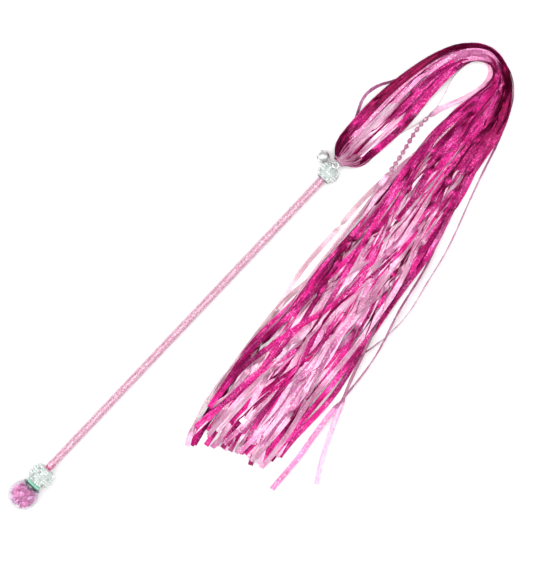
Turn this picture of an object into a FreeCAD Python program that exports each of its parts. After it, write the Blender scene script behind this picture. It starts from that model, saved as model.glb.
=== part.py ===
import FreeCAD, Part

import math
import os
import random

from FreeCAD import Vector

# Rhythmic ribbon wand, lying on a table. Millimetres.
# Origin: on the tube's axis, at the tube's lower end. +X runs up the wand to its tip, +Z is up.
# The table slopes up towards the tip by about half a degree, because the globe is bigger than the tip bead.

# Driving dimensions
GLOBE_RADIUS = 12.0
GLOBE_WALL = 0.8
GLOBE_X = -31.7
NECK_X = -22.6
CAP_RADIUS = 7.8
CAP_THICKNESS = 1.2
CAP_SPIGOT_RADIUS = 6.4
CAP_SPIGOT_LENGTH = 0.6
SPACER_RADIUS = 6.2
BALL_CORE_RADIUS = 9.3
BALL_HALF_LENGTH = 7.4
BALL_X = -11.2
STONE_RADIUS = 1.05
STONE_HEIGHT = 0.7
STUD_RADIUS = 1.5
STOPPER_HEAD_RADIUS = 3.1
STOPPER_SPIGOT_LENGTH = 3.0
TUBE_LENGTH = 309.5
TUBE_RADIUS = 3.6
TUBE_BORE_RADIUS = 3.0
GLUE_GAP = 0.05
BEAD_CORE_RADIUS = 8.1
BEAD_HALF_LENGTH = 6.0
BEAD_X = 313.2
BEAD_BORE_RADIUS = 4.9
EYELET_BORE_RADIUS = 4.4
EYELET_RIM_RADIUS = 5.3
EYELET_RIM_THICKNESS = 0.5
PLUG_SPIGOT_LENGTH = 3.4
PLUG_END_X = 314.8
POCKET_RADIUS = 2.2
POCKET_X = 307.3
PIN_RADIUS = 1.0
PIN_CLEARANCE = 0.06
PIN_HEAD_RADIUS = 1.9
PIN_HEAD_LENGTH = 1.4
BUSH_X = 310.2
EYE_X = 318.9
EYE_RADIUS = 1.6
EYE_WIRE = 0.5
LINK_RADIUS = 2.2
LINK_WIRE = 0.45
LINK_PLAY = 0.1
BELL_RING_RADIUS = 2.6
BELL_RING_WIRE = 0.4
BELL_RADIUS = 5.1
BELL_WALL = 0.5
BELL_X = 320.2
BELL_Y = 11.8
BELL_LOOP_RADIUS = 1.1
BELL_LOOP_WIRE = 0.35
BELL_SLOT_WIDTH = 0.9
BELL_SLOT_REACH = 68.0
BELL_HOLE_RADIUS = 0.85
PELLET_RADIUS = 1.6
PELLET_GAP = 0.1
HANG_ANGLE = 97.0
TASSEL_LOOP_RADIUS = 1.3
TASSEL_LOOP_WIRE = 0.35
HEAD_X = 325.0
COLLAR_X = 325.8
COLLAR_LENGTH = 2.0
COLLAR_WALL = 0.5
HEAD_NECK_END_X = 328.2
HEAD_END_X = 349.0
HEAD_NECK_HALF_WIDTH = 5.2
HEAD_NECK_HALF_HEIGHT = 1.7
STREAMER_WIDTH = 4.2
STREAMER_THICKNESS = 0.3
LAYER_PITCH = 0.45
ARC_SHARE = 0.45

ALONG = Vector(1, 0, 0)
ACROSS = Vector(0, 1, 0)
UP = Vector(0, 0, 1)

# The table touches the globe and the tip bead's stones.
BEAD_RADIUS = BEAD_CORE_RADIUS + STONE_HEIGHT
TABLE_TILT = math.asin((GLOBE_RADIUS - BEAD_RADIUS) / (BEAD_X - GLOBE_X))
TABLE_CONTACT = Vector(GLOBE_X, 0, -GLOBE_RADIUS)


def table_z(x):
    return TABLE_CONTACT.z + (x - TABLE_CONTACT.x) * math.tan(TABLE_TILT)


# Where the two sides of the tassel run, as (inner edge, outer edge) at each station, from its head to its ends.
# The inner edge is the one inside the tassel's bend.
STATIONS = [
    ((349.2, -16.0), (349.2, 13.0)),
    ((378.0, -19.0), (378.0, 14.0)),
    ((408.0, -17.5), (408.0, 11.5)),
    ((437.0, -16.5), (436.0, 6.0)),
    ((453.8, -18.0), (460.5, -1.8)),
    ((460.5, -24.8), (474.0, -19.2)),
    ((460.5, -34.2), (473.5, -39.6)),
    ((453.8, -41.0), (461.6, -60.0)),
    ((435.0, -39.0), (436.0, -76.0)),
    ((411.0, -37.0), (409.0, -82.5)),
    ((378.0, -36.5), (374.0, -90.5)),
    ((334.0, -40.0), (330.0, -99.5)),
    ((288.0, -44.5), (286.0, -106.5)),
    ((242.0, -48.5), (243.0, -112.0)),
    ((196.0, -51.0), (200.0, -117.5)),
    ((150.0, -54.5), (156.0, -121.5)),
    ((109.0, -60.5), (118.0, -127.0)),
]
# How much of a streamer's place at each station comes from its place at the head and at its end.
# What is left comes from its place in the bend.
HEAD_SHARE = [1.0, 1.0, 0.9, 0.7, 0.35, 0, 0, 0, 0, 0, 0, 0, 0, 0, 0, 0, 0]
END_SHARE = [0, 0, 0, 0, 0, 0, 0, 0.15, 0.4, 0.6, 0.8, 0.95, 1.0, 1.0, 1.0, 1.0, 1.0]
BEND_PLACES = (0.17, 0.5, 0.83)
# The streamers snake a little on their way back, each layer in its own phase.
SNAKE_HEIGHT = 4.5
SNAKE_STEP = 0.9

# The tassel's layers from the table up. Each holds three streamers side by side:
# (places across the head), (places across the ends), (how far each one passes the last station).
LAYERS = [
    ((0.08, 0.40, 0.74), (0.10, 0.46, 0.80), (14, 6, 3)),
    ((0.18, 0.50, 0.90), (0.22, 0.56, 0.92), (18, 9, -6)),
    ((0.04, 0.30, 0.62), (0.05, 0.36, 0.70), (22, 12, 4)),
    ((0.12, 0.45, 0.82), (0.16, 0.50, 0.86), (11, 2, -3)),
    ((0.24, 0.58, 0.95), (0.28, 0.62, 0.97), (16, 5, -9)),
    ((0.06, 0.36, 0.68), (0.08, 0.41, 0.75), (20, 8, 6)),
    ((0.16, 0.54, 0.86), (0.20, 0.53, 0.89), (8, 3, -2)),
    ((0.28, 0.64, 0.92), (0.33, 0.67, 0.94), (13, 7, -7)),
    ((0.03, 0.34, 0.78), (0.02, 0.44, 0.83), (24, 10, 1)),
]

# Streamers that stray from the tassel, as (layer, route).
STRAYS = {
    "upper_loop": (12, [
        (349.2, 10.0), (362.0, 15.0), (376.0, 22.0), (390.0, 19.5), (403.0, 10.5), (420.0, 4.0),
        (440.0, -1.5), (457.0, -10.0), (467.0, -23.0), (466.5, -38.0), (455.0, -50.0), (434.0, -55.0),
        (400.0, -57.0), (350.0, -62.0), (300.0, -69.5), (250.0, -75.0), (200.0, -83.5), (155.0, -89.0),
        (118.0, -95.5),
    ]),
    "inner_loop": (9, [
        (350.0, -12.0), (366.0, -17.0), (384.0, -23.0), (404.0, -27.0), (420.0, -23.5), (436.0, -18.0),
        (451.0, -19.5), (461.5, -25.5), (463.0, -37.5), (452.0, -45.5), (433.0, -46.0), (404.0, -44.5),
        (360.0, -48.0), (312.0, -55.0), (265.0, -58.0), (215.0, -62.5), (165.0, -66.0), (122.0, -72.5),
    ]),
    "outer_sweep": (9, [
        (349.2, 2.0), (374.0, 1.0), (400.0, 0.5), (428.0, 0.0), (453.0, -4.5), (470.5, -17.5),
        (473.0, -36.0), (466.0, -56.0), (449.0, -70.0), (425.0, -78.0), (400.0, -84.0), (372.0, -94.0),
        (345.0, -103.5), (315.0, -114.0), (282.0, -124.5), (254.0, -122.0), (225.0, -115.5),
        (190.0, -108.5), (155.0, -104.0),
    ]),
    "twisted_edge": (10, [
        (349.2, -8.0), (378.0, -9.5), (408.0, -8.5), (434.0, -9.0), (452.0, -15.5), (462.5, -26.0),
        (461.0, -37.0), (449.0, -42.0), (430.0, -38.0), (410.0, -30.0), (388.0, -27.5), (358.0, -33.0),
        (322.0, -38.0), (275.0, -41.5), (228.0, -47.0), (180.0, -48.5), (136.0, -52.0), (104.0, -57.5),
        (84.0, -68.0),
    ]),
    "lower_stray": (10, [
        (349.2, 6.0), (378.0, 5.5), (408.0, 5.0), (437.0, 1.0), (458.0, -7.0), (470.0, -22.0),
        (470.5, -39.0), (460.0, -56.0), (436.0, -69.0), (402.0, -78.0), (360.0, -90.0), (315.0, -102.0),
        (278.0, -113.0), (244.0, -126.0), (202.0, -132.0), (160.0, -130.5), (130.0, -136.0), (104.0, -138.0),
    ]),
    "pale_stray": (11, [
        (349.2, 0.0), (378.0, 0.5), (408.0, 0.0), (437.0, -4.0), (455.5, -11.5), (466.0, -24.5),
        (466.5, -37.5), (456.5, -52.5), (434.0, -62.0), (400.0, -69.5), (352.0, -80.0), (305.0, -92.0),
        (262.0, -104.0), (224.0, -116.0), (192.0, -128.5), (162.0, -142.5), (132.0, -162.0),
    ]),
}
LAYER_COUNT = 13


def save(name, shape):
    """Write one sub-part as a STEP file named after its node."""
    if not shape.isValid():
        raise ValueError(name + " is not a valid shape")
    shape.exportStep("parts/" + name + ".step")


def disc(start_x, end_x, radius):
    """A solid round bar on the wand's axis."""
    return Part.makeCylinder(radius, end_x - start_x, Vector(start_x, 0, 0), ALONG)


def sleeve(start_x, end_x, radius, bore_radius):
    """A round tube on the wand's axis."""
    return disc(start_x, end_x, radius).cut(disc(start_x, end_x, bore_radius))


def ring(centre, normal, radius, wire):
    """A closed wire ring."""
    return Part.makeTorus(radius, wire, centre, normal)


def slab(start_x, end_x):
    """Everything between two planes across the wand, wider than any piece of it."""
    size = 60.0
    return Part.makeBox(end_x - start_x, size, size, Vector(start_x, -size / 2, -size / 2))


def barrel(centre_x, radius, half_length, bore_radius):
    """A ball with flat ends and a bore, as a bead's body."""
    ball = Part.makeSphere(radius, Vector(centre_x, 0, 0))
    trimmed = ball.common(slab(centre_x - half_length, centre_x + half_length))
    return trimmed.cut(disc(centre_x - half_length, centre_x + half_length, bore_radius))


# Handle end

def globe_shell():
    centre = Vector(GLOBE_X, 0, 0)
    shell = Part.makeSphere(GLOBE_RADIUS, centre).cut(Part.makeSphere(GLOBE_RADIUS - GLOBE_WALL, centre))
    return shell.common(slab(GLOBE_X - 2 * GLOBE_RADIUS, NECK_X))


def globe_flakes():
    """Loose film flakes that fill the globe, as thin plates set at all angles on a grid."""
    pitch = 3.9
    flake_length = 3.0
    flake_width = 2.2
    flake_thickness = 0.15
    reach = GLOBE_RADIUS - GLOBE_WALL - 0.5 * math.hypot(flake_length, flake_width) - 0.2
    chance = random.Random(11)
    flakes = []
    steps = range(-3, 4)
    for i in steps:
        for j in steps:
            for k in steps:
                centre = Vector(GLOBE_X + i * pitch, j * pitch, k * pitch)
                off_centre = centre - Vector(GLOBE_X, 0, 0)
                past_cap = centre.x > NECK_X - CAP_SPIGOT_LENGTH - flake_length
                if off_centre.Length > reach or past_cap:
                    continue
                flake = Part.makeBox(
                    flake_length, flake_width, flake_thickness,
                    centre - Vector(flake_length, flake_width, flake_thickness) * 0.5,
                )
                axis = Vector(chance.uniform(-1, 1), chance.uniform(-1, 1), chance.uniform(-1, 1))
                flake.rotate(centre, axis.normalize(), chance.uniform(0, 180))
                flakes.append(flake)
    return Part.makeCompound(flakes)


def globe_cap():
    flange = disc(NECK_X, NECK_X + CAP_THICKNESS, CAP_RADIUS)
    spigot = disc(NECK_X - CAP_SPIGOT_LENGTH, NECK_X, CAP_SPIGOT_RADIUS)
    rounded = flange.makeFillet(0.5, [flange.Edges[0], flange.Edges[2]])
    bore = disc(NECK_X - CAP_SPIGOT_LENGTH, NECK_X + CAP_THICKNESS, STUD_RADIUS)
    return rounded.fuse(spigot).removeSplitter().cut(bore)


def crystal_spacer():
    """A clear disc bead, bevelled on both edges."""
    bevel = 0.8
    start_x = NECK_X + CAP_THICKNESS
    end_x = BALL_X - BALL_HALF_LENGTH
    body = disc(start_x, end_x, SPACER_RADIUS)
    bevelled = body.makeChamfer(bevel, [body.Edges[0], body.Edges[2]])
    return bevelled.cut(disc(start_x, end_x, STUD_RADIUS))


def stone(base_centre, outward, radius, height):
    """One cut stone: a six-sided girdle and a smaller flat table."""
    girdle_height = 0.25 * height
    table_share = 0.6
    side = outward.cross(ALONG)
    if side.Length < 0.01:
        side = outward.cross(ACROSS)
    side.normalize()
    other = outward.cross(side)

    def hexagon(centre, size):
        corners = []
        for step in range(7):
            angle = math.radians(60 * step)
            corners.append(centre + side * (size * math.cos(angle)) + other * (size * math.sin(angle)))
        return Part.makePolygon(corners)

    base = hexagon(base_centre, radius)
    girdle = hexagon(base_centre + outward * girdle_height, radius)
    table = hexagon(base_centre + outward * height, radius * table_share)
    return Part.makeLoft([base, girdle, table], True, True)


def stone_rows(centre_x, core_radius, row_angles, spacing):
    """Stones set in rows round a bead, at these angles from the wand's axis."""
    stones = []
    for row, row_angle in enumerate(row_angles):
        tilt = math.radians(row_angle)
        count = int(2 * math.pi * core_radius * math.sin(tilt) / spacing)
        for place in range(count):
            turn = 2 * math.pi * (place + 0.5 * (row % 2)) / count
            outward = Vector(
                math.cos(tilt),
                math.sin(tilt) * math.cos(turn),
                math.sin(tilt) * math.sin(turn),
            )
            base = Vector(centre_x, 0, 0) + outward * core_radius
            stones.append(stone(base, outward, STONE_RADIUS, STONE_HEIGHT))
    return Part.makeCompound(stones)


def handle_stud():
    return disc(NECK_X - CAP_SPIGOT_LENGTH, -1.0, STUD_RADIUS)


def tube_stopper():
    start_x = BALL_X + BALL_HALF_LENGTH
    head = disc(start_x, 0, STOPPER_HEAD_RADIUS)
    spigot = disc(0, STOPPER_SPIGOT_LENGTH, TUBE_BORE_RADIUS - GLUE_GAP)
    return head.fuse(spigot).cut(disc(start_x, -1.0, STUD_RADIUS))


# Tip

def tip_eyelet(side):
    """One of the two metal eyelets that line the tip bead: side -1 faces the tube, +1 the tassel."""
    face_x = BEAD_X + side * BEAD_HALF_LENGTH
    outer_x = face_x + side * EYELET_RIM_THICKNESS
    rim = sleeve(min(face_x, outer_x), max(face_x, outer_x), EYELET_RIM_RADIUS, EYELET_BORE_RADIUS)
    barrel_part = sleeve(min(BEAD_X, face_x), max(BEAD_X, face_x), BEAD_BORE_RADIUS, EYELET_BORE_RADIUS)
    return rim.fuse(barrel_part).removeSplitter()


def tip_plug():
    """Closes the tube and centres it in the tip bead. Its pocket holds the swivel pin's head."""
    spigot = disc(TUBE_LENGTH - PLUG_SPIGOT_LENGTH, TUBE_LENGTH, TUBE_BORE_RADIUS - GLUE_GAP)
    body = disc(TUBE_LENGTH, PLUG_END_X, EYELET_BORE_RADIUS)
    return spigot.fuse(body).cut(disc(POCKET_X, PLUG_END_X, POCKET_RADIUS))


def swivel_bush():
    return sleeve(BUSH_X, PLUG_END_X, POCKET_RADIUS, PIN_RADIUS + PIN_CLEARANCE)


def eye_pin():
    head_end = BUSH_X - 0.2
    head = disc(head_end - PIN_HEAD_LENGTH, head_end, PIN_HEAD_RADIUS)
    shank = disc(head_end, EYE_X - EYE_RADIUS, PIN_RADIUS)
    eye = ring(Vector(EYE_X, 0, 0), ACROSS, EYE_RADIUS, EYE_WIRE)
    return head.fuse([shank, eye])


# The link ring lies flat and hooks through the upright eye. The bell's ring and the tassel's loop hook on it.
LINK_CENTRE = Vector(EYE_X + EYE_RADIUS - EYE_WIRE - LINK_WIRE - LINK_PLAY + LINK_RADIUS, 0, 0)
HANG_DIRECTION = Vector(math.cos(math.radians(HANG_ANGLE)), math.sin(math.radians(HANG_ANGLE)), 0)
HANG_POINT = LINK_CENTRE + HANG_DIRECTION * LINK_RADIUS
BELL_CENTRE = Vector(BELL_X, BELL_Y, table_z(BELL_X) + BELL_RADIUS)
TO_BELL = (BELL_CENTRE - HANG_POINT).normalize()
HANG_TANGENT = UP.cross(HANG_DIRECTION)
BELL_RING_NORMAL = (HANG_TANGENT - TO_BELL * HANG_TANGENT.dot(TO_BELL)).normalize()
BELL_LOOP_NORMAL = BELL_RING_NORMAL.cross(TO_BELL)
BELL_RING_CENTRE = HANG_POINT + TO_BELL * (BELL_RING_RADIUS - LINK_WIRE - BELL_RING_WIRE - LINK_PLAY)
BELL_HOOK = BELL_RING_CENTRE + TO_BELL * BELL_RING_RADIUS
BELL_LOOP_CENTRE = BELL_HOOK + TO_BELL * (
    BELL_LOOP_RADIUS - BELL_RING_WIRE - BELL_LOOP_WIRE - LINK_PLAY
)
TASSEL_HOOK = LINK_CENTRE + ALONG * LINK_RADIUS
TASSEL_LOOP_CENTRE = TASSEL_HOOK + ALONG * (TASSEL_LOOP_RADIUS - LINK_WIRE - TASSEL_LOOP_WIRE - LINK_PLAY)


# Jingle bell, round its own centre, with its loop on +Z

def bell_placement():
    """Turns the bell's +Z towards the ring it hangs on, and puts it on the table beside the tip bead."""
    turn = FreeCAD.Rotation(BELL_RING_NORMAL, BELL_LOOP_NORMAL, TO_BELL * -1, "ZXY")
    return FreeCAD.Placement(BELL_CENTRE, turn)


def placed_bell(shape):
    shape.Placement = bell_placement()
    return shape


def bell_half(sign):
    outer = Part.makeSphere(BELL_RADIUS)
    inner = Part.makeSphere(BELL_RADIUS - BELL_WALL)
    size = 4 * BELL_RADIUS
    low_z = 0 if sign > 0 else -size
    half_space = Part.makeBox(size, size, size, Vector(-size / 2, -size / 2, low_z))
    return outer.cut(inner).common(half_space)


def bell_upper_half():
    """The half with the slot that the bell's loop is set in."""
    slot_length = 2 * (BELL_LOOP_RADIUS + BELL_LOOP_WIRE + GLUE_GAP)
    slot_width = 2 * (BELL_LOOP_WIRE + GLUE_GAP)
    slot = Part.makeBox(
        slot_length, slot_width, BELL_RADIUS,
        Vector(-slot_length / 2, -slot_width / 2, BELL_RADIUS / 2),
    )
    return placed_bell(bell_half(1).cut(slot))


def bell_lower_half():
    """The half with two crossed slots, each ending in a round hole."""
    half = bell_half(-1)
    reach = math.radians(BELL_SLOT_REACH)
    slot_depth = BELL_RADIUS * math.cos(reach)
    slot_span = 2 * BELL_RADIUS * math.sin(reach)
    for turn in (45, 135):
        slot = Part.makeBox(
            slot_span, BELL_SLOT_WIDTH, BELL_RADIUS,
            Vector(-slot_span / 2, -BELL_SLOT_WIDTH / 2, -BELL_RADIUS - slot_depth),
        )
        slot.rotate(Vector(), UP, turn)
        half = half.cut(slot)
        for end in (turn, turn + 180):
            outward = Vector(
                math.sin(reach) * math.cos(math.radians(end)),
                math.sin(reach) * math.sin(math.radians(end)),
                -math.cos(reach),
            )
            half = half.cut(Part.makeCylinder(BELL_HOLE_RADIUS, 2 * BELL_RADIUS, Vector(), outward))
    return placed_bell(half)


def bell_pellet():
    """The loose ball inside, at the bottom of the bell."""
    drop = BELL_RADIUS - BELL_WALL - PELLET_RADIUS - PELLET_GAP
    return Part.makeSphere(PELLET_RADIUS, BELL_CENTRE - UP * drop)


# Tassel

def oval(x, half_width, half_height, centre_y, centre_z):
    """An oval outline across the wand."""
    curve = Part.Ellipse(Vector(x, centre_y, centre_z), half_width, half_height)
    curve.Axis = ALONG
    curve.XAxis = ACROSS
    return Part.Wire(curve.toShape())


def tassel_head():
    """The gathered heads of the streamers, spreading from the collar down to the table."""
    (_, inner_y), (_, outer_y) = STATIONS[0]
    height = LAYER_COUNT * LAYER_PITCH
    sections = [
        oval(HEAD_X, HEAD_NECK_HALF_WIDTH, HEAD_NECK_HALF_HEIGHT, 0, 0),
        oval(HEAD_NECK_END_X, HEAD_NECK_HALF_WIDTH, HEAD_NECK_HALF_HEIGHT, 0, 0),
        oval(
            HEAD_END_X, (outer_y - inner_y) / 2, height / 2,
            (outer_y + inner_y) / 2, table_z(HEAD_END_X) + height / 2,
        ),
    ]
    return Part.makeLoft(sections, True, True).cut(tassel_loop())


def tassel_loop():
    return ring(TASSEL_LOOP_CENTRE, ACROSS, TASSEL_LOOP_RADIUS, TASSEL_LOOP_WIRE)


def tassel_collar():
    length = ALONG * COLLAR_LENGTH
    outer = oval(COLLAR_X, HEAD_NECK_HALF_WIDTH + COLLAR_WALL, HEAD_NECK_HALF_HEIGHT + COLLAR_WALL, 0, 0)
    inner = oval(COLLAR_X, HEAD_NECK_HALF_WIDTH, HEAD_NECK_HALF_HEIGHT, 0, 0)
    return Part.Face(outer).extrude(length).cut(Part.Face(inner).extrude(length))


def lane_route(layer, head_place, bend_place, end_place, extra):
    """A streamer's route through the stations, at its own place between the inner and outer edges."""
    route = []
    for station, (inner, outer) in enumerate(STATIONS):
        head_share = HEAD_SHARE[station]
        end_share = END_SHARE[station]
        bend_share = 1 - head_share - end_share
        place = head_place * head_share + bend_place * bend_share + end_place * end_share
        snake = SNAKE_HEIGHT * end_share * math.sin(SNAKE_STEP * station + layer)
        route.append((
            inner[0] + place * (outer[0] - inner[0]),
            inner[1] + place * (outer[1] - inner[1]) + snake,
        ))
    (before_x, before_y), (last_x, last_y) = route[-2:]
    run = math.hypot(last_x - before_x, last_y - before_y)
    grow = 1 + extra / run
    route[-1] = (before_x + grow * (last_x - before_x), before_y + grow * (last_y - before_y))
    return route


def strip(name, route, layer):
    """A flat streamer: straight runs joined by tangent arcs, lying flat in its layer of the tassel."""
    points = [Vector(x, y, TABLE_CONTACT.z + layer * LAYER_PITCH) for x, y in route]
    half = STREAMER_WIDTH / 2
    left, right = [], []
    length = 0.0
    smallest = math.inf
    turns = []
    at = points[0]
    for before, corner, after in zip(points, points[1:], points[2:]):
        came = corner - before
        goes = after - corner
        into = came * (1 / came.Length)
        out = goes * (1 / goes.Length)
        turn = math.atan2(into.cross(out).z, into.dot(out))
        cut_back = ARC_SHARE * min(came.Length, goes.Length)
        radius = cut_back / math.tan(abs(turn) / 2)
        start = corner - into * cut_back
        end = corner + out * cut_back
        side = UP.cross(into)
        left.append(Part.LineSegment(at + side * half, start + side * half).toShape())
        right.append(Part.LineSegment(at - side * half, start - side * half).toShape())
        centre = start + side * math.copysign(radius, turn)
        middle_way = (corner - centre).normalize()
        end_side = UP.cross(out)
        for edges, offset in ((left, half), (right, -half)):
            bow = radius - math.copysign(1, turn) * offset
            edges.append(Part.Arc(
                start + side * offset,
                centre + middle_way * bow,
                end + end_side * offset,
            ).toShape())
        length += (start - at).Length + radius * abs(turn)
        smallest = min(smallest, radius)
        turns.append(math.degrees(abs(turn)))
        at = end
    last = points[-1]
    direction = (last - at).normalize()
    side = UP.cross(direction)
    left.append(Part.LineSegment(at + side * half, last + side * half).toShape())
    right.append(Part.LineSegment(at - side * half, last - side * half).toShape())
    length += (last - at).Length
    first_side = UP.cross((points[1] - points[0]).normalize())
    start_cap = Part.LineSegment(points[0] - first_side * half, points[0] + first_side * half).toShape()
    end_cap = Part.LineSegment(last + side * half, last - side * half).toShape()
    outline = Part.Wire([start_cap] + left + [end_cap] + right[::-1])
    solid = Part.Face(outline).extrude(UP * STREAMER_THICKNESS)
    solid.rotate(TABLE_CONTACT, ACROSS, -math.degrees(TABLE_TILT))
    expected = STREAMER_WIDTH * STREAMER_THICKNESS * length
    print(
        f"{name}: {length:.0f} mm, volume {solid.Volume / expected:.4f} of section times length, "
        f"smallest radius {smallest:.1f}, turns {min(turns):.1f} to {max(turns):.0f} degrees"
    )
    return solid


def streamers():
    """Every streamer's solid, by name."""
    solids = {}
    number = 0
    for layer, (head_places, end_places, extras) in enumerate(LAYERS):
        for lane in zip(head_places, BEND_PLACES, end_places, extras):
            number += 1
            name = f"streamer_{number:02d}"
            solids[name] = strip(name, lane_route(layer, *lane), layer)
    for stray, (layer, route) in STRAYS.items():
        name = "streamer_" + stray
        solids[name] = strip(name, route, layer)
    return solids


def main():
    os.makedirs("parts", exist_ok=True)
    ball_rows = (50, 63.3, 76.7, 90, 103.3, 116.7, 130)
    bead_rows = (57.4, 73.7, 90, 106.3, 122.6)
    stone_spacing = 2.22

    save("globe_shell", globe_shell())
    save("globe_flakes", globe_flakes())
    save("globe_cap", globe_cap())
    save("crystal_spacer", crystal_spacer())
    save("pave_ball_core", barrel(BALL_X, BALL_CORE_RADIUS, BALL_HALF_LENGTH, STUD_RADIUS))
    save("pave_ball_stones", stone_rows(BALL_X, BALL_CORE_RADIUS, ball_rows, stone_spacing))
    save("handle_stud", handle_stud())
    save("tube_stopper", tube_stopper())
    save("tube_shell", sleeve(0, TUBE_LENGTH, TUBE_RADIUS, TUBE_BORE_RADIUS))
    save("glitter_fill", disc(
        STOPPER_SPIGOT_LENGTH, TUBE_LENGTH - PLUG_SPIGOT_LENGTH, TUBE_BORE_RADIUS - GLUE_GAP,
    ))

    save("tip_bead_core", barrel(BEAD_X, BEAD_CORE_RADIUS, BEAD_HALF_LENGTH, BEAD_BORE_RADIUS))
    save("tip_bead_stones", stone_rows(BEAD_X, BEAD_CORE_RADIUS, bead_rows, stone_spacing))
    save("tip_eyelet_near", tip_eyelet(-1))
    save("tip_eyelet_far", tip_eyelet(1))
    save("tip_plug", tip_plug())
    save("swivel_bush", swivel_bush())
    save("eye_pin", eye_pin())

    save("link_ring", ring(LINK_CENTRE, UP, LINK_RADIUS, LINK_WIRE))
    save("bell_ring", ring(BELL_RING_CENTRE, BELL_RING_NORMAL, BELL_RING_RADIUS, BELL_RING_WIRE))
    save("bell_upper_half", bell_upper_half())
    save("bell_lower_half", bell_lower_half())
    save("bell_loop", ring(BELL_LOOP_CENTRE, BELL_LOOP_NORMAL, BELL_LOOP_RADIUS, BELL_LOOP_WIRE))
    save("bell_pellet", bell_pellet())

    save("tassel_loop", tassel_loop())
    save("tassel_collar", tassel_collar())
    save("tassel_head", tassel_head())
    for name, solid in streamers().items():
        save(name, solid)

    for label, point in (
        ("link centre", LINK_CENTRE), ("hang point", HANG_POINT), ("hang tangent", HANG_TANGENT),
        ("bell centre", BELL_CENTRE), ("bell hook", BELL_HOOK), ("bell loop normal", BELL_LOOP_NORMAL),
        ("bell ring normal", BELL_RING_NORMAL), ("tassel hook", TASSEL_HOOK),
    ):
        print(f"{label}: {point.x:.4f}, {point.y:.4f}, {point.z:.4f}")
    print(f"table tilt: {math.degrees(TABLE_TILT):.3f} degrees")


main()
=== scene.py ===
import math
import random

import bpy
import numpy as np
from mathutils import Matrix, Vector


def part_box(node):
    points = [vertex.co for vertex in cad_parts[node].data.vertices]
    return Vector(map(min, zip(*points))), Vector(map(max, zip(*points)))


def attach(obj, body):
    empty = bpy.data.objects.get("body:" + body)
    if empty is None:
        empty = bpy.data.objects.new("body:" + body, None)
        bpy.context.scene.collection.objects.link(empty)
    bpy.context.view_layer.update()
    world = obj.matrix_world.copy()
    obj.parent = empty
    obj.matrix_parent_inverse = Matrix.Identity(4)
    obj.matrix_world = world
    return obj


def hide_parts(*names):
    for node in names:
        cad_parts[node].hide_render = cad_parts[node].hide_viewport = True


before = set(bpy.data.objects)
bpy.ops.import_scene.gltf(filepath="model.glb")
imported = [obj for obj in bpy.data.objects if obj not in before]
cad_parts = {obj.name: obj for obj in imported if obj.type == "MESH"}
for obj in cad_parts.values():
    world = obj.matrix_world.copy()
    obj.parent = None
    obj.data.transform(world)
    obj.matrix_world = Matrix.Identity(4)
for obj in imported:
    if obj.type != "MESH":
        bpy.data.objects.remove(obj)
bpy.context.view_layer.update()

# Rhythmic ribbon wand, lying on a white table and seen from straight above. Metres.
# The origin is on the tube's axis at its lower end, +X runs up the wand to its tip, and +Z is up.

STREAMER_SEED = 5
FILLING_SEED = 17
WAND_SEED = 3

# The camera looks straight down. It is turned so that the wand points up and to the right, and it is so high
# that VIEW_HEIGHT metres fit the picture from top to bottom at z = VIEW_FOCUS.
VIEW_TURN = math.radians(46.54)
VIEW_CENTRE = (0.2186, -0.0237)
VIEW_HEIGHT = 0.4407
VIEW_LENS = 140.0
VIEW_FOCUS = -0.004
SENSOR_WIDTH = 36.0

# The table touches the globe and the tip bead, so it slopes up towards the tip.
GLOBE_LOW, GLOBE_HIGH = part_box("globe_shell")
BEAD_LOW, BEAD_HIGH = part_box("tip_bead_stones")
GLOBE_RADIUS = GLOBE_HIGH.y
GLOBE_X = GLOBE_LOW.x + GLOBE_RADIUS
BEAD_RADIUS = BEAD_HIGH.z
BEAD_X = (BEAD_LOW.x + BEAD_HIGH.x) / 2
TABLE_TILT = math.asin((GLOBE_RADIUS - BEAD_RADIUS) / (BEAD_X - GLOBE_X))

# Streamers
STREAMER_WIDTH = 0.0042
STREAMER_THICKNESS = 0.00006
STREAMER_STEP = 0.002
LAYER_PITCH = 0.00045
LEAST_HEIGHT = 0.0002
TABLE_GAP = 0.0001
ROCK = 32
HEAD_ROLL = 28
HEAD_NARROWING = 0.35
ROLL_PER_TURNING = 0.022
EDGEWAYS_RAMP = 0.012
# How far a streamer strays from its route, near the collar and past the bend, and how far its middle arches.
NEAR_STRAY = 0.0008
FAR_STRAY = 0.0026
ARCH = 0.00014
HEAD_SPREAD = 0.0006
# The corners round a streamer's cross-section: three along its top, then three back along its underside.
SECTION = (0, 1, 2, 5, 4, 3)
COLLAR_LOW, COLLAR_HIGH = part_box("tassel_collar")

# Where the two sides of the tassel run from its head to its ends: (inner edge, outer edge) at each station.
STATIONS = [
    ((0.3492, -0.0160), (0.3492, 0.0130)),
    ((0.3780, -0.0190), (0.3780, 0.0140)),
    ((0.4080, -0.0175), (0.4080, 0.0115)),
    ((0.4370, -0.0165), (0.4360, 0.0060)),
    ((0.4520, -0.0198), (0.4584, -0.0038)),
    ((0.4604, -0.0284), (0.4724, -0.0208)),
    ((0.4624, -0.0362), (0.4729, -0.0390)),
    ((0.4556, -0.0430), (0.4614, -0.0596)),
    ((0.4360, -0.0400), (0.4360, -0.0758)),
    ((0.4110, -0.0370), (0.4090, -0.0825)),
    ((0.3780, -0.0365), (0.3740, -0.0905)),
    ((0.3340, -0.0400), (0.3300, -0.0995)),
    ((0.2880, -0.0445), (0.2860, -0.1065)),
    ((0.2420, -0.0485), (0.2430, -0.1120)),
    ((0.1960, -0.0510), (0.2000, -0.1175)),
    ((0.1500, -0.0545), (0.1560, -0.1215)),
    ((0.1090, -0.0605), (0.1180, -0.1270)),
]
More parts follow.
